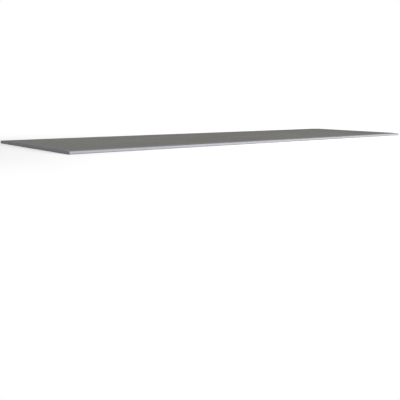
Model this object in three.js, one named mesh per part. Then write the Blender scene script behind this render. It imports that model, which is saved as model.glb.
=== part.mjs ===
// Gypsum plasterboard (drywall) sheet with half-round tapered edges.
//
// One board as it leaves the drying line: a gypsum core cast between two paper liners and sawn to length.
// The liners are bonded to the core all over, so the board is a single solid. What a fitter would know it by
// is the section, which runs unchanged from one cut end to the other:
//   - a flat field of full thickness,
//   - a shallow taper along each long edge on the face side, which takes the joint tape and filler,
//   - a half-round nose, where the face liner is wrapped round the core,
//   - on the back, the seam where the back liner laps over the folded-in margin of the face liner.
//
// Millimetres. +X runs along the board, +Y across it and +Z up. The board lies on its back with the face up.
// The origin is the centre of the back.

import * as THREE from 'three';

// Board
const LENGTH = 2000; // between the two sawn ends
const WIDTH = 600; // between the tips of the two noses
const THICKNESS = 12.5; // over the flat field

// Long edges
const TAPER_WIDTH = 45; // from the shoulder of the nose in to the flat field
const TAPER_DEPTH = 1.8; // how far the shoulder lies below the flat field
const TAPER_EASE = 0.45; // share of the taper's width over which each of its ends is rounded off
const NOSE_DEPTH = 5; // how far the nose stands out from its shoulder

// Back seam
const LINER = 0.35; // thickness of a paper liner, which is the height of the lap
const SEAM_INSET = 14; // from the tip of the nose to the edge of the back liner

// Facets
const NOSE_STEPS = 28;
const TAPER_STEPS = 12;

const TIP = WIDTH / 2;
const SHOULDER_Y = TIP - NOSE_DEPTH;
const SHOULDER_Z = THICKNESS - TAPER_DEPTH;
const FIELD_Y = SHOULDER_Y - TAPER_WIDTH;

/** The nose: half an ellipse standing on the folded margin of the face liner and ending at the shoulder. */
function noseCurve() {
  const centreZ = (LINER + SHOULDER_Z) / 2;
  const halfHeight = (SHOULDER_Z - LINER) / 2;
  return new THREE.EllipseCurve(SHOULDER_Y, centreZ, NOSE_DEPTH, halfHeight, -Math.PI / 2, Math.PI / 2);
}

/** The taper: an eased slope that leaves the shoulder level and runs out level into the flat field. */
function taperCurve() {
  const ease = TAPER_WIDTH * TAPER_EASE;
  return new THREE.CubicBezierCurve(
    new THREE.Vector2(SHOULDER_Y, SHOULDER_Z),
    new THREE.Vector2(SHOULDER_Y - ease, SHOULDER_Z),
    new THREE.Vector2(FIELD_Y + ease, THICKNESS),
    new THREE.Vector2(FIELD_Y, THICKNESS),
  );
}

/** One long edge seen from the end, from the edge of the back liner round the nose and up to the flat field. */
function edgeProfile() {
  const seamY = TIP - SEAM_INSET;
  return [
    new THREE.Vector2(seamY, 0),
    new THREE.Vector2(seamY, LINER),
    ...noseCurve().getPoints(NOSE_STEPS),
    ...taperCurve().getPoints(TAPER_STEPS).slice(1),
  ];
}

/** The board's section: one edge profile, and its mirror image walked back the other way. */
function boardSection() {
  const near = edgeProfile();
  const far = near.map((point) => new THREE.Vector2(-point.x, point.y)).reverse();
  return new THREE.Shape([...near, ...far]);
}

/** The section run along the board. A shape is drawn across and up, so its axes become +Y and +Z. */
function boardGeometry() {
  const geometry = new THREE.ExtrudeGeometry(boardSection(), { depth: LENGTH, bevelEnabled: false });
  const acrossUpAlong = new THREE.Matrix4().makeBasis(
    new THREE.Vector3(0, 1, 0),
    new THREE.Vector3(0, 0, 1),
    new THREE.Vector3(1, 0, 0),
  );
  return geometry.applyMatrix4(acrossUpAlong).translate(-LENGTH / 2, 0, 0);
}

const facePaper = new THREE.MeshStandardMaterial({ color: 0x82827e, roughness: 0.9, metalness: 0 });

const sheet = new THREE.Mesh(boardGeometry(), facePaper);
sheet.name = 'drywall_sheet';

const board = new THREE.Group();
board.add(sheet);

export default board;
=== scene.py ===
"""A sheet of drywall: foamed gypsum cast between two paper liners, with tapered, half-round long edges.

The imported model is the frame. Three pieces at their real thickness stand for its one solid:

- face_liner, the paper that covers the face, rolls round both long edges and folds in over the back,
- back_liner, the paper laid over the back, lapping the folded margins of the face liner,
- gypsum_core, the plaster between them, which shows at the two sawn ends.

Everything is in metres. X runs along the sheet, Y across it, and Z up out of the face.
"""

import logging
import math
from dataclasses import dataclass
from enum import Enum
from typing import Any

import bmesh
import bpy
import numpy as np
from mathutils import Matrix, Vector


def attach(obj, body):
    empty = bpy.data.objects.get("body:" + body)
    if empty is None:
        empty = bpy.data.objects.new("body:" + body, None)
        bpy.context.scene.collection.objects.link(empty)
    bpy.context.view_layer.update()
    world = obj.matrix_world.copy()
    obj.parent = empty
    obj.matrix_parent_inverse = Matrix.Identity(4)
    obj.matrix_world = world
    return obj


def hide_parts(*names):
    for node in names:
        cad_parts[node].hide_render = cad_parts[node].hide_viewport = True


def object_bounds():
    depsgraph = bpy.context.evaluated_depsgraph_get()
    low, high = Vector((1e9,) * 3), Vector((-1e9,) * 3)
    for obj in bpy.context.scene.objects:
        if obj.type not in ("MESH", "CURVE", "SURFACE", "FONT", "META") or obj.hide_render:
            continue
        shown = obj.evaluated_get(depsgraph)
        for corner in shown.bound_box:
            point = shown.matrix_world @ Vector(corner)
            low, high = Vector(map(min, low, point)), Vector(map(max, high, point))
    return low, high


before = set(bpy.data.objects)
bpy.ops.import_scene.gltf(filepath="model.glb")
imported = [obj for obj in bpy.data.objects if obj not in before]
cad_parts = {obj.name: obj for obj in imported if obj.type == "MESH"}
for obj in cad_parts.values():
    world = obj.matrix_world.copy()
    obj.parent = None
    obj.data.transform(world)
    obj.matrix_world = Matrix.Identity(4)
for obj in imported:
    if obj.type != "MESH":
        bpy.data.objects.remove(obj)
CAD_LOW, CAD_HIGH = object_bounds()

LOG = logging.getLogger("drywall_sheet")
MM = 0.001
BODY = "root"
CAD_NODE = "drywall_sheet"
SHARP_ANGLE = math.radians(30)
WHITE = "#ffffff"
BAKE_MAP = "OFBake"  # the name of a piece's own map that its colours are baked through, where it has one

# The Mix node gives the inputs of all its kinds the same names, so its colours go by number.
UNDER, OVER, MIXED = 6, 7, 2


# --- Small tools ----------------------------------------------------


def linear(hex_colour: str) -> tuple[float, float, float, float]:
    """Turns an sRGB colour into the linear values that shaders take.

    The sRGB curve is a straight line near black and a power of 2.4 above it.

    Args:
        hex_colour: Six hex digits with a leading hash, such as "#8e8e8a".

    Returns:
        Linear red, green and blue, and an alpha of 1.
    """
    levels = np.array([int(hex_colour[i : i + 2], 16) for i in (1, 3, 5)]) / 255
    light = np.where(levels <= 0.04045, levels / 12.92, ((levels + 0.055) / 1.055) ** 2.4)
    return (*(float(level) for level in light), 1.0)


def add_node(tree: bpy.types.NodeTree, kind: str, inputs: dict[Any, Any], **settings: Any) -> bpy.types.Node:
    """Adds a shader node with its settings, values and links.

    Args:
        tree: The node tree to add to.
        kind: The node's type name, without the leading "ShaderNode".
        inputs: For each input's name or number, the value it holds or the output socket it is linked to.
        settings: Attributes of the node itself, such as operation or data_type.

    Returns:
        The new node.
    """
    node = tree.nodes.new("ShaderNode" + kind)
    for name, setting in settings.items():
        setattr(node, name, setting)
    for key, value in inputs.items():
        if isinstance(value, bpy.types.NodeSocket):
            tree.links.new(value, node.inputs[key])
        else:
            node.inputs[key].default_value = value
    return node


def value_noise(across: np.ndarray, up: np.ndarray, cell: float, seed: int) -> np.ndarray:
    """Smooth random relief: random heights on a square lattice, eased from one lattice point to the next.

    The height between four lattice points is their bilinear blend, with each fraction f of a cell first
    turned to 3f^2 - 2f^3 so that the slope is zero at the lattice points.

    Args:
        across: First coordinate of each point.
        up: Second coordinate of each point.
        cell: Lattice spacing.
        seed: Seed of the random heights.

    Returns:
        Heights from 0 to 1, in the shape of the coordinates.
    """
    column, row = across / cell, up / cell
    column, row = column - column.min(), row - row.min()
    lattice = np.random.default_rng(seed).random((int(column.max()) + 2, int(row.max()) + 2))
    i, j = column.astype(int), row.astype(int)
    f, g = column - i, row - j
    f, g = f * f * (3 - 2 * f), g * g * (3 - 2 * g)
    low = lattice[i, j] * (1 - f) + lattice[i + 1, j] * f
    high = lattice[i, j + 1] * (1 - f) + lattice[i + 1, j + 1] * f
    return low * (1 - g) + high * g


def grid_quads(rows: int, columns: int, first: int = 0) -> np.ndarray:
    """Faces of a grid whose vertices are stored row by row.

    Args:
        rows: Vertices along the first direction.
        columns: Vertices along the second direction.
        first: Number of the grid's first vertex.

    Returns:
        Four vertex numbers for each face.
    """
    corner = first + np.arange(rows * columns).reshape(rows, columns)
    quads = np.stack([corner[:-1, :-1], corner[1:, :-1], corner[1:, 1:], corner[:-1, 1:]], axis=-1)
    return quads.reshape(-1, 4)


def mesh_object(name: str, points: np.ndarray, faces: np.ndarray) -> bpy.types.Object:
    """Makes a mesh object at the origin, shaded smooth but for its sharp edges.

    Args:
        name: The object's name.
        points: Vertex coordinates, one row each.
        faces: Four vertex numbers for each face.

    Returns:
        The object, linked to the scene.
    """
    mesh = bpy.data.meshes.new(name)
    mesh.from_pydata(points.tolist(), [], faces.tolist())
    mesh.polygons.foreach_set("use_smooth", np.ones(len(faces), bool))
    mesh.set_sharp_from_angle(angle=SHARP_ANGLE)
    mesh.update()
    piece = bpy.data.objects.new(name, mesh)
    bpy.context.scene.collection.objects.link(piece)
    return piece


# --- The section ----------------------------------------------------


@dataclass(frozen=True)
class Section:
    """The board's section, seen from the end, with Y across and Z up.

    Attributes:
        width: Between the tips of the two noses.
        thickness: Over the flat field.
        taper_width: From the nose's shoulder in to the flat field.
        taper_depth: How far the shoulder lies below the flat field.
        taper_ease: Share of the taper's width over which each of its ends is rounded off.
        nose_depth: How far the nose stands out from its shoulder.
        paper: Thickness of a liner, and the height of the lap on the back.
        seam_inset: From the nose's tip to the edge of the back liner.
        lap: How far the folded margin of the face liner runs on under the back liner.
        glue: Clearance between a liner and what it is bonded to, so that no two surfaces coincide.
        margin_steps: Points along a folded margin.
        nose_steps: Points round a nose.
        taper_steps: Points along a taper.
        field_steps: Stretches across the flat field.
        back_steps: Stretches across the back liner.
    """

    width: float
    thickness: float
    taper_width: float = 45 * MM
    taper_depth: float = 1.8 * MM
    taper_ease: float = 0.45
    nose_depth: float = 5 * MM
    paper: float = 0.35 * MM
    seam_inset: float = 14 * MM
    lap: float = 12 * MM
    glue: float = 0.01 * MM
    margin_steps: int = 14
    nose_steps: int = 40
    taper_steps: int = 24
    field_steps: int = 330
    back_steps: int = 380

    @property
    def shoulder_y(self) -> float:
        """Where the nose begins, out from the middle of the board."""
        return self.width / 2 - self.nose_depth

    @property
    def shoulder_z(self) -> float:
        """Height of the face at the shoulder."""
        return self.thickness - self.taper_depth

    @property
    def field_y(self) -> float:
        """Where the flat field ends, out from the middle of the board."""
        return self.shoulder_y - self.taper_width

    @property
    def seam_y(self) -> float:
        """Edge of the back liner, out from the middle of the board."""
        return self.width / 2 - self.seam_inset

    @property
    def fold_y(self) -> float:
        """Hidden edge of the face liner's folded margin, out from the middle of the board."""
        return self.seam_y - self.lap

    def margin(self) -> np.ndarray:
        """The folded margin on the back: level, one paper's thickness up, running out to the nose."""
        across = np.linspace(self.fold_y, self.shoulder_y, self.margin_steps, endpoint=False)
        return np.column_stack([across, np.full(across.size, self.paper)])

    def nose(self) -> np.ndarray:
        """The nose: half an ellipse, from the bottom of its round up to the shoulder.

        Y is the shoulder's, plus the nose's depth times the cosine of the angle. Z is that of the middle of
        the round, plus half the round's height times the sine.

        Returns:
            Y and Z of each point. The shoulder itself is the taper's first point.
        """
        angle = np.linspace(-math.pi / 2, math.pi / 2, self.nose_steps, endpoint=False)
        middle = (self.shoulder_z + self.paper) / 2
        half_height = (self.shoulder_z - self.paper) / 2
        across = self.shoulder_y + self.nose_depth * np.cos(angle)
        return np.column_stack([across, middle + half_height * np.sin(angle)])

    def taper(self) -> np.ndarray:
        """The taper: a cubic Bezier curve that leaves the shoulder level and runs out level in the field.

        Its four points are weighted by (1 - t)^3, 3 (1 - t)^2 t, 3 (1 - t) t^2 and t^3, with t from 0 to 1.

        Returns:
            Y and Z of each point. The edge of the field itself is the field's first point.
        """
        t = np.linspace(0, 1, self.taper_steps, endpoint=False)[:, None]
        rest = 1 - t
        reach = self.taper_width * self.taper_ease
        start = np.array([self.shoulder_y, self.shoulder_z])
        end = np.array([self.field_y, self.thickness])
        leave = start - [reach, 0]
        arrive = end + [reach, 0]
        return rest**3 * start + 3 * rest**2 * t * leave + 3 * rest * t**2 * arrive + t**3 * end

    def face_path(self) -> np.ndarray:
        """The outside of the face liner: one long edge, the flat field, and that edge's mirror image.

        Returns:
            Y and Z of each point, from the hidden fold under the +Y edge to the one under the -Y edge.
        """
        edge = np.vstack([self.margin(), self.nose(), self.taper()])
        across = np.linspace(self.field_y, -self.field_y, self.field_steps + 1)
        field = np.column_stack([across, np.full(across.size, self.thickness)])
        return np.vstack([edge, field, edge[::-1] * [-1, 1]])

    def back_path(self) -> np.ndarray:
        """The outside of the back liner: a level line at zero, from the -Y seam to the +Y seam."""
        across = np.linspace(-self.seam_y, self.seam_y, self.back_steps + 1)
        return np.column_stack([across, np.zeros(across.size)])


def inward(path: np.ndarray, depth: float) -> np.ndarray:
    """Moves an outline into the board, along its normal at each point.

    The normal is the chord between a point's two neighbours, turned a quarter turn to the left of the way
    that the outline runs.

    Args:
        path: Y and Z of each point, with the board on the left of the way that the path runs.
        depth: How far to move it.

    Returns:
        The moved points.
    """
    chord = np.gradient(path, axis=0)
    chord /= np.linalg.norm(chord, axis=1, keepdims=True)
    return path + depth * np.column_stack([-chord[:, 1], chord[:, 0]])


SECTION = Section(width=CAD_HIGH.y - CAD_LOW.y, thickness=CAD_HIGH.z - CAD_LOW.z)


# --- Patterns of the finishes ---------------------------------------


@dataclass(frozen=True)
class Grain:
    """A noise on object coordinates.

    Attributes:
        size: Size of its largest blotches across the sheet.
        stretch: How many times longer they are along the sheet.
        detail: Octaves of finer noise laid over them, each half the size of the one before.
        roughness: Strength of each octave, as a share of the one before.
    """

    size: float
    stretch: float = 1.0
    detail: float = 0.0
    roughness: float = 0.64

    def add(self, tree: bpy.types.NodeTree) -> bpy.types.Node:
        """Adds the noise.

        Args:
            tree: The material's nodes.

        Returns:
            The noise node, whose "Fac" is one value around 0.5 and whose "Color" is three.
        """
        place = add_node(tree, "TexCoord", {}).outputs["Object"]
        run = add_node(tree, "Mapping", {"Vector": place, "Scale": (1 / self.stretch, 1, 1)})
        sizes = {"Scale": 1 / self.size, "Detail": self.detail, "Roughness": self.roughness}
        return add_node(tree, "TexNoise", {"Vector": run.outputs["Vector"], **sizes})

    def spread(
        self, tree: bpy.types.NodeTree, span: tuple[float, float], low: float, high: float
    ) -> bpy.types.NodeSocket:
        """Adds the noise, with a range of its values spread evenly over another.

        Args:
            tree: The material's nodes.
            span: The noise's values that become low and high.
            low: What the lower one and all below it become.
            high: What the upper one and all above it become.

        Returns:
            The spread noise.
        """
        value = self.add(tree).outputs["Fac"]
        bottom, top = span
        limits = {"From Min": bottom, "From Max": top, "To Min": low, "To Max": high}
        return add_node(tree, "MapRange", {"Value": value, **limits}).outputs["Result"]


def rise(tree: bpy.types.NodeTree, axis: str, start: float, stop: float, most: float) -> bpy.types.NodeSocket:
    """Adds a smooth rise on both sides of the sheet's middle.

    With f the share of the way from start to stop, held from 0 to 1, it is the most times 3f^2 - 2f^3.

    Args:
        tree: The material's nodes.
        axis: "X" along the sheet or "Y" across it.
        start: Distance from the middle at which the rise begins.
        stop: Distance at which it ends.
        most: Its value from there on.

    Returns:
        The rise, which is 0 up to the start.
    """
    place = add_node(tree, "TexCoord", {}).outputs["Object"]
    coordinate = add_node(tree, "SeparateXYZ", {"Vector": place}).outputs[axis]
    out = add_node(tree, "Math", {0: coordinate}, operation="ABSOLUTE").outputs["Value"]
    limits = {"From Min": start, "From Max": stop, "To Max": most}
    risen = add_node(tree, "MapRange", {"Value": out, **limits}, interpolation_type="SMOOTHSTEP")
    return risen.outputs["Result"]


@dataclass(frozen=True, kw_only=True)
class Layer:
    """A colour laid over what is under it, by a share that varies over the surface.

    Attributes:
        colour: The layer's colour.
        hollow: Whether what it draws is cut into the surface.
    """

    colour: str
    hollow: bool = False

    def share(self, tree: bpy.types.NodeTree) -> bpy.types.NodeSocket:
        """Adds the pattern: 0 where nothing of the layer shows, and 1 where it covers what is under it."""
        raise NotImplementedError


@dataclass(frozen=True, kw_only=True)
class Clouds(Layer):
    """Soft clouds: a sum of noises, each times its weight, with a middle range of the sum spread from 0 to 1.

    Attributes:
        grains: The noises and their weights.
        span: The sums that become 0 and 1.
    """

    grains: tuple[tuple[Grain, float], ...]
    span: tuple[float, float]

    def share(self, tree: bpy.types.NodeTree) -> bpy.types.NodeSocket:
        """Adds the clouds.

        Args:
            tree: The material's nodes.

        Returns:
            0 between the clouds and 1 in the middle of one.
        """
        total: Any = 0.0
        for grain, weight in self.grains:
            noise = grain.add(tree).outputs["Fac"]
            added = add_node(tree, "Math", {0: noise, 1: weight, 2: total}, operation="MULTIPLY_ADD")
            total = added.outputs["Value"]
        bottom, top = self.span
        spread = add_node(tree, "MapRange", {"Value": total, "From Min": bottom, "From Max": top})
        return spread.outputs["Result"]


@dataclass(frozen=True, kw_only=True)
class Pulp(Clouds):
    """The paper's lighter clouds: wide ones, the close formation of the pulp, and a trace of streaks."""

    grains: tuple[tuple[Grain, float], ...] = (
        (Grain(160 * MM, stretch=1.4, detail=3), 0.33),  # the flow of the pulp over the paper machine
        (Grain(14 * MM, stretch=1.2, detail=5), 0.52),  # where its fibres settled in flocks
        (Grain(22 * MM, stretch=18, detail=2), 0.15),  # the way that the paper ran
    )
    span: tuple[float, float] = (0.36, 0.64)


@dataclass(frozen=True, kw_only=True)
class PaintedEdgeLight(Layer):
    """Painted light: paper drawn paler towards the long edges, where the lamps light the taper and the nose
    more than the field.

    The share is the sum of two smooth rises of painted light: one over the taper, which the lamps light more
    than the field, and one over the first part of the round, which faces the front lamp. Faint clouds of the
    formation take a little of it away.

    Attributes:
        taper_light: The share at the shoulder, which is painted light on the taper.
        roll: How much of the nose's depth the second rise, the painted light on the nose, takes.
        clouds: The noise of the clouds.
        span: Its values in the darkest and in the lightest of them.
        least: What the darkest ones leave of the share.
    """

    taper_light: float = 0.4
    roll: float = 0.7
    clouds: Grain = Grain(14 * MM, stretch=3, detail=4)
    span: tuple[float, float] = (0.35, 0.65)
    least: float = 0.86

    def share(self, tree: bpy.types.NodeTree) -> bpy.types.NodeSocket:
        """Adds the two rises of painted light and the clouds.

        Args:
            tree: The material's nodes.

        Returns:
            0 in the field, and close to 1 round the nose.
        """
        shoulder = SECTION.shoulder_y
        lit_nose_y = shoulder + self.roll * SECTION.nose_depth
        # Painted light: one rise over the taper and one over the first part of the nose's round.
        lit_taper = rise(tree, "Y", SECTION.field_y, shoulder, self.taper_light)
        lit_nose = rise(tree, "Y", shoulder, lit_nose_y, 1 - self.taper_light)
        even = add_node(tree, "Math", {0: lit_taper, 1: lit_nose}, operation="ADD").outputs["Value"]
        cloudy = self.clouds.spread(tree, self.span, self.least, 1)
        return add_node(tree, "Math", {0: even, 1: cloudy}, operation="MULTIPLY").outputs["Value"]


@dataclass(frozen=True, kw_only=True)
class StrayFibres(Layer):
    """Stray dark fibres, each a short curl.

    A fibre is a short piece of a contour line of a smooth noise: the line is where the noise passes its
    middle value, and a second noise leaves only pieces of it.

    Attributes:
        most: The share in the middle of a fibre.
        curl: The noise whose contour line is drawn.
        middle: Its middle value.
        half_width: About half a fibre's width. Real ones are some 0.03 mm wide, which is too fine to show, so
            they are drawn several times as wide.
        gaps: The noise that breaks the line.
        span: Its values where a fibre begins and where it is whole.
    """

    most: float
    curl: Grain = Grain(9 * MM, stretch=1.6, detail=1)
    middle: float = 0.5
    half_width: float = 0.12 * MM
    gaps: Grain = Grain(6.3 * MM)
    span: tuple[float, float] = (0.58, 0.66)

    def share(self, tree: bpy.types.NodeTree) -> bpy.types.NodeSocket:
        """Adds the contour line and breaks it up.

        Args:
            tree: The material's nodes.

        Returns:
            0 beside the fibres, and the layer's most in the middle of one.
        """
        noise = self.curl.add(tree).outputs["Fac"]
        off = add_node(tree, "Math", {0: noise, 1: self.middle}, operation="SUBTRACT").outputs["Value"]
        away = add_node(tree, "Math", {0: off}, operation="ABSOLUTE").outputs["Value"]
        edge = self.half_width / self.curl.size
        line = add_node(tree, "MapRange", {"Value": away, "From Min": edge, "From Max": 0.0})
        whole = self.gaps.spread(tree, self.span, 0, self.most)
        share = add_node(tree, "Math", {0: line.outputs["Result"], 1: whole}, operation="MULTIPLY")
        return share.outputs["Value"]


@dataclass(frozen=True, kw_only=True)
class SawDust(Layer):
    """A pale haze of gypsum dust, rubbed into the paper next to the cut ends.

    The share is a smooth rise towards the cut, times a noise that makes it patchy.

    Attributes:
        most: What the rise reaches at the cut.
        reach: How far from the cut the dust goes.
        patches: The noise.
    """

    colour: str = "#b4b4b2"
    most: float = 0.5
    reach: float = 18 * MM
    patches: Grain = Grain(9 * MM, detail=4)

    def share(self, tree: bpy.types.NodeTree) -> bpy.types.NodeSocket:
        """Adds the haze.

        Args:
            tree: The material's nodes.

        Returns:
            0 away from the ends, and up to the layer's most at a cut.
        """
        near_end = rise(tree, "X", CAD_HIGH.x - self.reach, CAD_HIGH.x, self.most)
        patchy = self.patches.add(tree).outputs["Fac"]
        return add_node(tree, "Math", {0: near_end, 1: patchy}, operation="MULTIPLY").outputs["Value"]


@dataclass(frozen=True, kw_only=True)
class CrushedPlaster(Clouds):
    """Clean plaster, crushed by the saw, in clouds some 8 mm wide."""

    grains: tuple[tuple[Grain, float], ...] = ((Grain(8 * MM, detail=6, roughness=0.62), 1.0),)
    span: tuple[float, float] = (0.35, 0.65)


@dataclass(frozen=True, kw_only=True)
class ShadedBubbles(Layer):
    """Air bubbles that the saw opened: a scatter of round hollows of many sizes, a little out of round,
    painted darker as the shade inside them.

    Each point of a random scatter draws a number from 0 to 1, and a power of it sets the radius of the bubble
    there, so that few are large. The share is how far a place lies inside the bubble nearest to it.

    Attributes:
        spacing: Distance between the points, on average. The real bubbles lie closer, but most are too fine
            to show, so only the larger ones are drawn.
        power: The power.
        draws: The powered numbers that give the smallest and the largest bubble.
        radii: The radii of those two, as shares of the spacing.
        rim: How far inside the radius a bubble's rim begins and ends, as shares of the spacing.
        wobble: The noise that pushes a bubble out of round.
        push: How far it pushes, at most.
    """

    hollow: bool = True
    spacing: float = 1.0 * MM
    power: float = 2.0
    draws: tuple[float, float] = (0.2, 1.0)
    radii: tuple[float, float] = (0.0, 0.32)
    rim: tuple[float, float] = (-0.04, 0.14)
    wobble: Grain = Grain(0.5 * MM, detail=1, roughness=0.5)
    push: float = 0.35 * MM

    def share(self, tree: bpy.types.NodeTree) -> bpy.types.NodeSocket:
        """Adds the bubbles.

        Args:
            tree: The material's nodes.

        Returns:
            0 outside the bubbles and 1 inside one.
        """
        place = add_node(tree, "TexCoord", {}).outputs["Object"]
        pushes = {0: self.wobble.add(tree).outputs["Color"], 1: (self.push,) * 3, 2: place}
        pushed = add_node(tree, "VectorMath", pushes, operation="MULTIPLY_ADD").outputs["Vector"]
        nearest = add_node(tree, "TexVoronoi", {"Vector": pushed, "Scale": 1 / self.spacing}).outputs
        drawn = add_node(tree, "TexWhiteNoise", {"Vector": nearest["Color"]}).outputs["Value"]
        powered = add_node(tree, "Math", {0: drawn, 1: self.power}, operation="POWER").outputs["Value"]
        low, high = self.draws
        smallest, largest = self.radii
        sizes = {"From Min": low, "From Max": high, "To Min": smallest, "To Max": largest}
        radius = add_node(tree, "MapRange", {"Value": powered, **sizes}).outputs["Result"]
        inside = add_node(tree, "Math", {0: radius, 1: nearest["Distance"]}, operation="SUBTRACT")
        start, full = self.rim
        depth = {"Value": inside.outputs["Value"], "From Min": start, "From Max": full}
        return add_node(tree, "MapRange", depth).outputs["Result"]


# --- Finishes -------------------------------------------------------


@dataclass(frozen=True, kw_only=True)
class BoardMaterial:
    """What the papers and the plaster have in common: a colour in layers, and a fine relief.

    Attributes:
        name: The material's name.
        ground: Its own colour, under the layers.
        layers: What lies over the ground, from the lowest layer up.
        relief: The grain of the surface.
        relief_height: How high the grain stands.
        relief_strength: How strongly it is drawn.
        roughness: Surface roughness.
        ior: Index of refraction.
        specular: Specular level, which is 0.5 where the surface is smooth.
    """

    name: str
    ground: str
    layers: tuple[Layer, ...]
    relief: Grain
    relief_height: float
    relief_strength: float
    roughness: float
    ior: float
    specular: float

    def build(self) -> bpy.types.Material:
        """Makes the material.

        Returns:
            The material, ready to be put in a slot.
        """
        material = bpy.data.materials.new(self.name)
        material.use_nodes = True
        tree = material.node_tree
        colour = linear(self.ground)
        height = self.relief.add(tree).outputs["Fac"]
        for layer in self.layers:
            share = layer.share(tree)
            over = linear(layer.colour)
            mixed = add_node(tree, "Mix", {"Factor": share, UNDER: colour, OVER: over}, data_type="RGBA")
            colour = mixed.outputs[MIXED]
            if layer.hollow:
                height = add_node(tree, "Math", {0: height, 1: share}, operation="SUBTRACT").outputs["Value"]
        bump = add_node(
            tree,
            "Bump",
            {"Height": height, "Distance": self.relief_height, "Strength": self.relief_strength},
        )
        shader = tree.nodes["Principled BSDF"]
        shader.inputs["Roughness"].default_value = self.roughness
        shader.inputs["IOR"].default_value = self.ior
        shader.inputs["Specular IOR Level"].default_value = self.specular
        tree.links.new(colour, shader.inputs["Base Color"])
        tree.links.new(bump.outputs["Normal"], shader.inputs["Normal"])
        return material


@dataclass(frozen=True, kw_only=True)
class LinerPaper(BoardMaterial):
    """Multi-ply board liner, calendered on one side: matt, with cloudy formation and faint fibres.

    To the eye it is a dull, even grey. Closer to, it has soft clouds where the pulp settled unevenly, faint
    streaks along the way the paper ran through its machine, a fine tooth, and a few stray fibres.
    """

    relief: Grain = Grain(1.3 * MM, stretch=1.8, detail=4)  # coarser than the real tooth, so that it shows
    relief_height: float = 0.09 * MM
    relief_strength: float = 0.8
    roughness: float = 0.9
    ior: float = 1.5  # cellulose
    specular: float = 0.03  # the open fibres mirror next to nothing


@dataclass(frozen=True, kw_only=True)
class SawnGypsum(BoardMaterial):
    """Foamed gypsum plaster, cut by a saw: chalky and full of pinholes.

    To the eye it is a dead matt off-white that drinks the light, flecked by the shadows of its air bubbles.
    """

    relief: Grain = Grain(0.5 * MM, detail=2, roughness=0.5)  # coarser than the real grit, so that it shows
    relief_height: float = 0.3 * MM
    relief_strength: float = 0.5
    roughness: float = 0.95
    ior: float = 1.52  # gypsum
    specular: float = 0.2


class Finish(Enum):
    """The finishes of the sheet, each under the record's name for its slot."""

    # The better paper, smoothed between rollers: a neutral grey. The field is drawn darker than the paper
    # itself, partly as painted shade, because the lamps light the face less than the edges. Painted light
    # pales it round the long edges.
    face_liner = LinerPaper(
        name="calendered_grey_face_liner",
        ground="#7a7975",
        layers=(
            Pulp(colour="#8b8a87"),
            # Painted light: the paler, lilac grey of the long edges, where the lamps light them most.
            PaintedEdgeLight(colour="#acacb4"),
            StrayFibres(colour="#63625d", most=0.4),
            SawDust(),
        ),
    )
    # Plain paper of mixed waste: a little browner and darker, rougher, and with darker fibres that show more.
    back_liner = LinerPaper(
        name="recycled_brown_grey_back_liner",
        ground="#75716a",
        layers=(
            Pulp(colour="#827f78"),
            StrayFibres(colour="#504c46", most=0.6),
            SawDust(),
        ),
        roughness=0.95,
    )
    # Clean plaster: an off-white with a trace of cold blue, and bubbles painted a good deal darker as the
    # shade in their hollows.
    gypsum_core = SawnGypsum(
        name="sawn_foamed_gypsum",
        ground="#c1c1c8",
        layers=(
            CrushedPlaster(colour="#d0d0d7"),
            # Painted shade: the bubbles' darker colour stands for the shade inside the hollows.
            ShadedBubbles(colour="#97979f"),
        ),
    )


# --- The sheet ------------------------------------------------------


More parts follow.
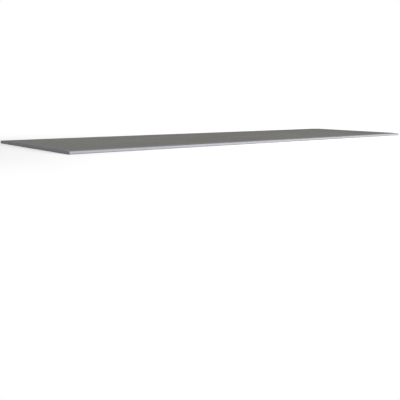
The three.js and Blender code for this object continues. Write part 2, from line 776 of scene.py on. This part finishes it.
@dataclass
class Liner:
    """A paper liner: a path across the section, given its thickness and run from one cut end to the other.

    Attributes:
        finish: What it is made of, which also gives the piece its name.
        path: Y and Z along the liner's outside, with the board on the left of the way that it runs.
        thickness: The paper's thickness.
        spacing: Distance between the rings along the sheet.
        behind: Distance from a cut end to one more ring, which keeps the tears close to the cut.
        fray: How far the saw tore the paper's cut edge back, at most.
        tear: Size of a tear.
        ragged: Size of a stretch that is torn more or less than the next.
        seeds: Seeds of the tears at the -X and the +X end.
    """

    finish: Finish
    path: np.ndarray
    thickness: float
    spacing: float = 100 * MM
    behind: float = 12 * MM
    fray: float = 0.25 * MM
    tear: float = 3 * MM
    ragged: float = 24 * MM
    seeds: tuple[int, int] = (31, 47)

    def stations(self) -> np.ndarray:
        """Places the rings evenly along the sheet, with one more close behind each cut end.

        Returns:
            X of each ring, from -X to +X.
        """
        count = round((CAD_HIGH.x - CAD_LOW.x) / self.spacing) + 1
        even = np.linspace(CAD_LOW.x, CAD_HIGH.x, count)
        return np.sort(np.append(even, [CAD_LOW.x + self.behind, CAD_HIGH.x - self.behind]))

    def torn(self, seed: int) -> np.ndarray:
        """How far one cut edge is torn back at each point of the path.

        It is the most that it is torn, times the product of a coarse and a fine smooth noise along the path.

        Args:
            seed: Seed of this end's noise.

        Returns:
            Depths, never negative.
        """
        steps = np.linalg.norm(np.diff(self.path, axis=0), axis=1)
        run = np.concatenate([[0.0], np.cumsum(steps)])
        level = np.zeros(run.size)
        coarse = value_noise(run, level, self.ragged, seed)
        return self.fray * coarse * value_noise(run, level, self.tear, seed + 1)

    def points(self, stations: np.ndarray) -> np.ndarray:
        """The liner's skin: one closed ring, out along the outside and back along the inside, per station.

        Args:
            stations: X of each ring.

        Returns:
            Vertex coordinates, ring by ring.
        """
        ring = np.vstack([self.path, inward(self.path, self.thickness)[::-1]])
        along = np.repeat(stations[:, None], len(ring), axis=1)
        low, high = (self.torn(seed) for seed in self.seeds)
        along[0] += np.concatenate([low, low[::-1]])
        along[-1] -= np.concatenate([high, high[::-1]])
        return np.column_stack([along.ravel(), np.tile(ring, (stations.size, 1))])

    def faces(self, stations: int) -> np.ndarray:
        """The skin between the rings, and the rim of paper that shows at each cut end.

        Args:
            stations: Number of rings.

        Returns:
            Four vertex numbers for each face.
        """
        half = len(self.path)
        ring = 2 * half
        corner = np.arange(stations * ring).reshape(stations, ring)
        corner = np.column_stack([corner, corner[:, 0]])
        skin = np.stack([corner[:-1, :-1], corner[:-1, 1:], corner[1:, 1:], corner[1:, :-1]], axis=-1)
        step = np.arange(half - 1)
        rim = np.stack([step, ring - 1 - step, ring - 2 - step, step + 1], axis=-1)
        far_rim = rim[:, ::-1] + (stations - 1) * ring
        return np.vstack([skin.reshape(-1, 4), rim, far_rim])

    def make(self) -> bpy.types.Object:
        """Builds and dresses the liner.

        Returns:
            The piece.
        """
        stations = self.stations()
        piece = mesh_object(self.finish.name, self.points(stations), self.faces(stations.size))
        dress(piece, self.finish)
        return piece


@dataclass
class Core:
    """The gypsum between the liners, sawn a little short of the paper by the crumbling of its faces.

    Attributes:
        finish: What it is made of, which also gives the piece its name.
        column_step: Grid spacing across a sawn face, up to the noses.
        nose_columns: Columns round each nose.
        rows: Vertices up a sawn face.
        recess: How far a sawn face lies behind the paper's cut edge at the least.
        relief_height: Height of the crumbled relief, at most.
        crumb: Size of the coarse crumbs.
        fine_crumb: Size of the fine crumbs.
        crumb_shares: Shares of the relief's height that the coarse and the fine crumbs take.
        score_pitch: Distance between the saw's upright scores.
        score: Depth of a score.
        stray: How many pitches the scores stray to one side, at most.
        stray_length: Distance over which they stray.
        pit_share: Share of the grid's points where a bubble was opened.
        pit: Depth of such a bubble, at most.
        ease: Distance behind a cut edge by which the hidden walls have drawn back from the paper.
        draw: How far they have drawn back there.
        strips: Strips that a sawn face is cut into on the bake map.
        shown: Share of the bake map that the sawn faces take.
        strip_gap: Empty space round a strip, as a share of its length and of its height.
        seeds: Seeds of the relief at the -X and the +X end.
    """

    finish: Finish = Finish.gypsum_core
    column_step: float = 0.5 * MM
    nose_columns: int = 14
    rows: int = 25
    recess: float = 0.12 * MM
    relief_height: float = 0.3 * MM
    crumb: float = 5 * MM
    fine_crumb: float = 1.4 * MM
    crumb_shares: tuple[float, float] = (0.45, 0.55)
    score_pitch: float = 4.3 * MM
    score: float = 0.05 * MM
    stray: float = 3
    stray_length: float = 40 * MM
    pit_share: float = 0.04
    pit: float = 0.4 * MM
    ease: float = 4 * MM
    draw: float = 0.15 * MM
    strips: int = 4
    shown: float = 0.7
    strip_gap: tuple[float, float] = (0.005, 0.05)
    seeds: tuple[int, int] = (11, 23)

    def columns(self) -> np.ndarray:
        """Places the columns: evenly over the board, then closing up towards each tip as a sine levels off.

        Returns:
            Y of each column, from the tip of one nose to the tip of the other.
        """
        tip = SECTION.width / 2 - SECTION.paper - SECTION.glue
        start = SECTION.shoulder_y
        flat = np.linspace(0, start, round(start / self.column_step), endpoint=False)
        nose = start + (tip - start) * np.sin(np.linspace(0, math.pi / 2, self.nose_columns))
        half = np.concatenate([flat, nose])
        return np.concatenate([-half[:0:-1], half])

    def outline(self, across: np.ndarray) -> tuple[np.ndarray, np.ndarray]:
        """Height of the core's underside and of its top at each column.

        The top and the round follow the inside of the face liner. The underside is one paper up, and two
        where the folded margin lies between the core and the back liner.

        Args:
            across: Y of each column.

        Returns:
            Heights of the underside and of the top.
        """
        inside = inward(SECTION.face_path(), SECTION.paper + SECTION.glue)
        half = inside[: len(inside) // 2 + 1]
        tip = int(np.argmax(half[:, 0]))
        out = np.abs(across)
        under = np.interp(out, half[: tip + 1, 0], half[: tip + 1, 1])
        over = np.interp(out, half[tip:, 0][::-1], half[tip:, 1][::-1])
        on_back = SECTION.paper + SECTION.glue
        slope = np.clip((SECTION.fold_y - out) / SECTION.paper, 0, 1)
        return under + (on_back - under) * slope, over

    def relief(self, across: np.ndarray, up: np.ndarray, seed: int) -> np.ndarray:
        """How far each point of a sawn face lies behind the paper's cut edge.

        It is the recess, plus two sizes of smooth noise for the crumbled plaster, plus a shallow wave for the
        saw's scores, plus deeper pits scattered at random. The wave is half of one plus the sine of a phase,
        which turns once per pitch and strays with a broad noise. The first and last columns have no pits,
        because each is a single point at the tip of a nose.

        Args:
            across: Y of each point.
            up: Z of each point.
            seed: Seed of this end's noise.

        Returns:
            Depths, never negative.
        """
        coarse = value_noise(across, up, self.crumb, seed)
        fine = value_noise(across, up, self.fine_crumb, seed + 1)
        coarse_share, fine_share = self.crumb_shares
        crumbled = self.relief_height * (coarse_share * coarse + fine_share * fine)
        strayed = self.stray * value_noise(across, up, self.stray_length, seed + 2)
        scores = 0.5 + 0.5 * np.sin(2 * math.pi * (across / self.score_pitch + strayed))
        opened = np.random.default_rng(seed + 3).random(across.shape)
        pits = np.where(opened < self.pit_share, self.pit * opened / self.pit_share, 0)
        pits[[0, -1]] = 0
        return self.recess + crumbled + self.score * scores + pits

    def sawn_face(self, end: float, seed: int) -> np.ndarray:
        """One sawn face: a grid of columns across and rows from the underside to the top.

        Args:
            end: X of the paper's cut edge.
            seed: Seed of this end's noise.

        Returns:
            Vertex coordinates, column by column.
        """
        across = self.columns()
        under, over = self.outline(across)
        share = np.linspace(0, 1, self.rows)
        up = under[:, None] + (over - under)[:, None] * share
        wide = np.repeat(across[:, None], self.rows, axis=1)
        depth = self.relief(wide, up, seed)
        return np.stack([end - math.copysign(1, end) * depth, wide, up], axis=-1).reshape(-1, 3)

    def rim(self, columns: int) -> np.ndarray:
        """Numbers of the points round a sawn face: out along its underside, and back along its top."""
        under = np.arange(columns) * self.rows
        return np.concatenate([under, (under + self.rows - 1)[::-1]])

    def drawn_back(self, rim: np.ndarray, end: float) -> np.ndarray:
        """The hidden ring behind a sawn face's rim, shrunk a little towards the middle of the section.

        Args:
            rim: The rim's points.
            end: X of the paper's cut edge.

        Returns:
            The ring's points.
        """
        across, up = rim[:, 1], rim[:, 2]
        middle = SECTION.thickness / 2
        along = np.full(len(rim), end - math.copysign(self.ease, end))
        shrunk_across = across * (1 - 2 * self.draw / SECTION.width)
        shrunk_up = up + self.draw * np.clip((middle - up) / self.draw, -1, 1)
        return np.column_stack([along, shrunk_across, shrunk_up])

    def strips_on_map(self, corners: np.ndarray, end: int) -> np.ndarray:
        """Lays a sawn face on the bake map, cut into strips of equal length that lie one above the other.

        A corner's first coordinate is how far along its strip it lies. Its second is the strip's number plus
        the corner's share of the thickness, with the strips of both ends scaled to fill the shown share.

        Args:
            corners: The corners of the sawn face's faces.
            end: 0 for the -X end, and 1 for the +X end, whose strips follow those of the first.

        Returns:
            Map coordinates of each corner.
        """
        along = (corners[..., 1] / SECTION.width + 0.5) * self.strips
        strip = np.floor(along.mean(axis=1, keepdims=True))
        inside = np.stack([along - strip, corners[..., 2] / SECTION.thickness], axis=-1)
        gap = np.array(self.strip_gap)
        inside = gap + (1 - 2 * gap) * inside
        row = (end * self.strips + strip + inside[..., 1]) / (2 * self.strips)
        return np.stack([inside[..., 0], self.shown * row], axis=-1)

    def walls_on_map(self, corners: np.ndarray) -> np.ndarray:
        """Lays the walls between two rings on the rest of the bake map, coarsely, because they never show.

        A corner's first coordinate is its place along the board, and its second goes round the section.

        Args:
            corners: The corners of the walls' faces.

        Returns:
            Map coordinates of each corner.
        """
        along = (corners[..., 0] - CAD_LOW.x) / (CAD_HIGH.x - CAD_LOW.x)
        turn = (np.arange(len(corners))[:, None] + [0, 1, 1, 0]) / len(corners)
        return np.stack([along, self.shown + (1 - self.shown) * turn], axis=-1)

    def make(self) -> bpy.types.Object:
        """Builds and dresses the core: two sawn faces, joined by walls round the section.

        The bake map gives most of its room to the sawn faces, which keeps their bubbles sharp.

        Returns:
            The piece.
        """
        low_seed, high_seed = self.seeds
        low = self.sawn_face(CAD_LOW.x, low_seed)
        high = self.sawn_face(CAD_HIGH.x, high_seed)
        columns = len(low) // self.rows
        rim = self.rim(columns)
        middle = np.vstack([self.drawn_back(low[rim], CAD_LOW.x), self.drawn_back(high[rim], CAD_HIGH.x)])
        hidden = len(low) + len(high) + np.arange(len(middle)).reshape(2, -1)
        rings = [rim, *hidden, len(low) + rim]
        walls = [
            np.stack([near, np.roll(near, -1), np.roll(far, -1), far], axis=-1)
            for near, far in zip(rings[:-1], rings[1:], strict=True)
        ]
        low_faces = grid_quads(columns, self.rows)[:, ::-1]
        high_faces = grid_quads(columns, self.rows, first=len(low))
        points = np.vstack([low, high, middle])
        piece = mesh_object(self.finish.name, points, np.vstack([low_faces, high_faces, *walls]))
        sawn = [self.strips_on_map(points[low_faces], 0), self.strips_on_map(points[high_faces], 1)]
        layout = np.vstack([*sawn, *(self.walls_on_map(points[wall]) for wall in walls)])
        piece.data.uv_layers.new(name=BAKE_MAP).uv.foreach_set("vector", layout.ravel())
        weld(piece)
        dress(piece, self.finish)
        return piece


def weld(piece: bpy.types.Object, reach: float = 0.001 * MM) -> None:
    """Merges the points that meet at the tips of the noses, and turns every face outwards.

    Args:
        piece: The piece to close.
        reach: How near two points lie to be the same one.
    """
    shape = bmesh.new()
    shape.from_mesh(piece.data)
    bmesh.ops.remove_doubles(shape, verts=shape.verts, dist=reach)
    bmesh.ops.recalc_face_normals(shape, faces=shape.faces)
    shape.to_mesh(piece.data)
    shape.free()


def dress(piece: bpy.types.Object, finish: Finish) -> None:
    """Gives a piece its finish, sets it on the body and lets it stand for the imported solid.

    Args:
        piece: The piece, in place.
        finish: Its finish.
    """
    piece.data.materials.append(finish.value.build())
    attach(piece, BODY)
    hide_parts(CAD_NODE)


# --- The studio -----------------------------------------------------


@dataclass(frozen=True)
class Softbox:
    """A large oblong lamp aimed at the sheet.

    Attributes:
        name: The lamp's name.
        place: Where it hangs.
        aim: The point that it faces.
        size: Its level side and its other side.
        power: Its power, in watts.
    """

    name: str
    place: tuple[float, float, float]
    aim: tuple[float, float, float]
    size: tuple[float, float]
    power: float

    def make(self) -> None:
        """Hangs the lamp."""
        data = bpy.data.lights.new(self.name, "AREA")
        data.shape = "RECTANGLE"
        data.energy = self.power
        data.size, data.size_y = self.size
        lamp = bpy.data.objects.new(self.name, data)
        lamp.location = self.place
        lamp.rotation_mode = "QUATERNION"
        lamp.rotation_quaternion = (Vector(self.aim) - Vector(self.place)).to_track_quat("-Z", "Y")
        lamp.visible_camera = False
        bpy.context.scene.collection.objects.link(lamp)


@dataclass(frozen=True)
class Viewpoint:
    """The camera, turned about the upright, then tipped down, then rolled.

    Attributes:
        place: Where it stands.
        heading: Degrees from +Y towards +X.
        tip: Degrees below the horizon.
        roll: Degrees that the right side of the camera is raised.
        focal_px: Focal length, in pixels of the rendered image.
        image_px: Width of that image, in pixels.
        sensor_mm: Width of the sensor, in millimetres.
    """

    place: tuple[float, float, float]
    heading: float
    tip: float
    roll: float
    focal_px: float
    image_px: float = 400
    sensor_mm: float = 36

    def make(self) -> None:
        """Sets up the camera and makes it the scene's own."""
        heading, tip, roll = (math.radians(angle) for angle in (self.heading, self.tip, self.roll))
        ahead = Vector((math.sin(heading) * math.cos(tip), math.cos(heading) * math.cos(tip), -math.sin(tip)))
        level = Vector((math.cos(heading), -math.sin(heading), 0))
        above = level.cross(ahead)
        right = math.cos(roll) * level + math.sin(roll) * above
        up = math.cos(roll) * above - math.sin(roll) * level
        data = bpy.data.cameras.new("camera")
        data.sensor_width = self.sensor_mm
        data.lens = self.focal_px / self.image_px * self.sensor_mm
        camera = bpy.data.objects.new("camera", data)
        turn = Matrix((right, up, -ahead)).transposed().to_4x4()
        camera.matrix_world = Matrix.Translation(self.place) @ turn
        bpy.context.scene.collection.objects.link(camera)
        bpy.context.scene.camera = camera


@dataclass(frozen=True)
class Studio:
    """A pale floor, a white surround and soft lamps.

    Attributes:
        floor_size: Length of the floor's sides.
        floor_colour: The floor's own colour.
        seen_gain: How many times brighter the floor shows than it lights, which brings it to white but for
            the shadow.
        fade: Distances from the sheet's outline over which the floor as it shows passes into plain white.
        ambient: Strength of the surround as a light.
        lamps: The softboxes.
    """

    floor_size: float = 60.0
    floor_colour: str = "#d4d4d4"
    seen_gain: float = 2.45
    fade: tuple[float, float] = (0.03, 0.6)
    ambient: float = 0.2
    lamps: tuple[Softbox, ...] = (
        Softbox("front_softbox", place=(0.4, -2.9, 0.45), aim=(0.3, -0.2, 0), size=(3.6, 0.6), power=108),
        Softbox("back_softbox", place=(0.3, 3.4, 0.6), aim=(0.1, 0.2, 0), size=(3, 0.5), power=40),
        Softbox("overhead_softbox", place=(0.8, -0.1, 2.6), aim=(0.8, -0.1, 0), size=(3.2, 1.4), power=28),
    )

    def shown(self, tree: bpy.types.NodeTree) -> bpy.types.NodeSocket:
        """Tells the rays that show a background from those that carry its light.

        Args:
            tree: The nodes of the floor or the surround.

        Returns:
            1 for a ray from the camera or one that was mirrored or refracted, and 0 for any other.
        """
        path = add_node(tree, "LightPath", {}).outputs
        shown = path["Is Camera Ray"]
        for kind in ("Is Glossy Ray", "Is Transmission Ray"):
            shown = add_node(tree, "Math", {0: shown, 1: path[kind]}, operation="MAXIMUM").outputs["Value"]
        return shown

    def past_outline(self, tree: bpy.types.NodeTree) -> bpy.types.NodeSocket:
        """Measures how far a point of the floor lies outside the rectangle that the sheet covers.

        It is the length of a vector that holds, for each axis, how far the point lies past the sheet, or 0.

        Args:
            tree: The floor's nodes.

        Returns:
            The distance, and 0 inside the rectangle.
        """
        place = add_node(tree, "TexCoord", {}).outputs["Object"]
        out = add_node(tree, "VectorMath", {0: place}, operation="ABSOLUTE").outputs[0]
        past = add_node(tree, "VectorMath", {0: out, 1: tuple(CAD_HIGH)}, operation="SUBTRACT").outputs[0]
        outside = add_node(tree, "VectorMath", {0: past, 1: (0, 0, 0)}, operation="MAXIMUM").outputs[0]
        return add_node(tree, "VectorMath", {0: outside}, operation="LENGTH").outputs["Value"]

    def floor_material(self) -> bpy.types.Material:
        """Makes the floor's material: plain and diffuse, shown brighter than it lights the board.

        Returns:
            The material, ready to be put in a slot.
        """
        material = bpy.data.materials.new("pale_floor")
        material.use_nodes = True
        tree = material.node_tree
        tree.nodes.clear()
        seen = self.shown(tree)
        gain = add_node(tree, "MapRange", {"Value": seen, "To Min": 1, "To Max": self.seen_gain})
        pale = {0: linear(self.floor_colour)[:3], "Scale": gain.outputs["Result"]}
        colour = add_node(tree, "VectorMath", pale, operation="SCALE").outputs["Vector"]
        shaded = add_node(tree, "BsdfDiffuse", {"Color": colour}).outputs["BSDF"]
        near, far = self.fade
        away = {"Value": self.past_outline(tree), "From Min": near, "From Max": far}
        faded = add_node(tree, "MapRange", away, interpolation_type="SMOOTHSTEP").outputs["Result"]
        share = add_node(tree, "Math", {0: faded, 1: seen}, operation="MULTIPLY").outputs["Value"]
        white = add_node(tree, "Emission", {"Color": linear(WHITE), "Strength": 1}).outputs["Emission"]
        ground = add_node(tree, "MixShader", {0: share, 1: shaded, 2: white}).outputs["Shader"]
        add_node(tree, "OutputMaterial", {"Surface": ground})
        return material

    def make_floor(self) -> None:
        """Lays the floor, which isn't part of the sheet."""
        corners = self.floor_size / 2 * np.array([[-1, -1, 0], [1, -1, 0], [1, 1, 0], [-1, 1, 0]])
        floor = mesh_object("floor", corners, np.array([[0, 1, 2, 3]]))
        floor.data.materials.append(self.floor_material())

    def make_surround(self) -> None:
        """Sets the world: white to the camera and in reflections, and a soft even light otherwise."""
        world = bpy.data.worlds.new("white_surround")
        world.use_nodes = True
        tree = world.node_tree
        tree.nodes.clear()
        level = add_node(tree, "MapRange", {"Value": self.shown(tree), "To Min": self.ambient, "To Max": 1})
        white = add_node(tree, "Background", {"Color": linear(WHITE), "Strength": level.outputs["Result"]})
        add_node(tree, "OutputWorld", {"Surface": white.outputs["Background"]})
        bpy.context.scene.world = world

    def make(self) -> None:
        """Sets up the floor, the surround and the lamps."""
        self.make_floor()
        self.make_surround()
        for lamp in self.lamps:
            lamp.make()
        bpy.context.scene.view_settings.view_transform = "Standard"


VIEWPOINT = Viewpoint(place=(-1.851, -1.963, 0.1775), heading=40.29, tip=10.08, roll=0.570, focal_px=558.0)


def report(piece: bpy.types.Object) -> None:
    """Logs a piece's name and how many faces it has.

    Args:
        piece: The finished piece.
    """
    LOG.info("%s: %d faces", piece.name, len(piece.data.polygons))


def main() -> None:
    """Builds the sheet, piece by piece, and then the studio round it."""
    logging.basicConfig(level=logging.INFO, format="%(name)s: %(message)s")
    VIEWPOINT.make()
    report(Liner(Finish.face_liner, SECTION.face_path(), SECTION.paper).make())
    report(Liner(Finish.back_liner, SECTION.back_path(), SECTION.paper - SECTION.glue).make())
    report(Core().make())
    Studio().make()


if __name__ == "__main__":
    main()
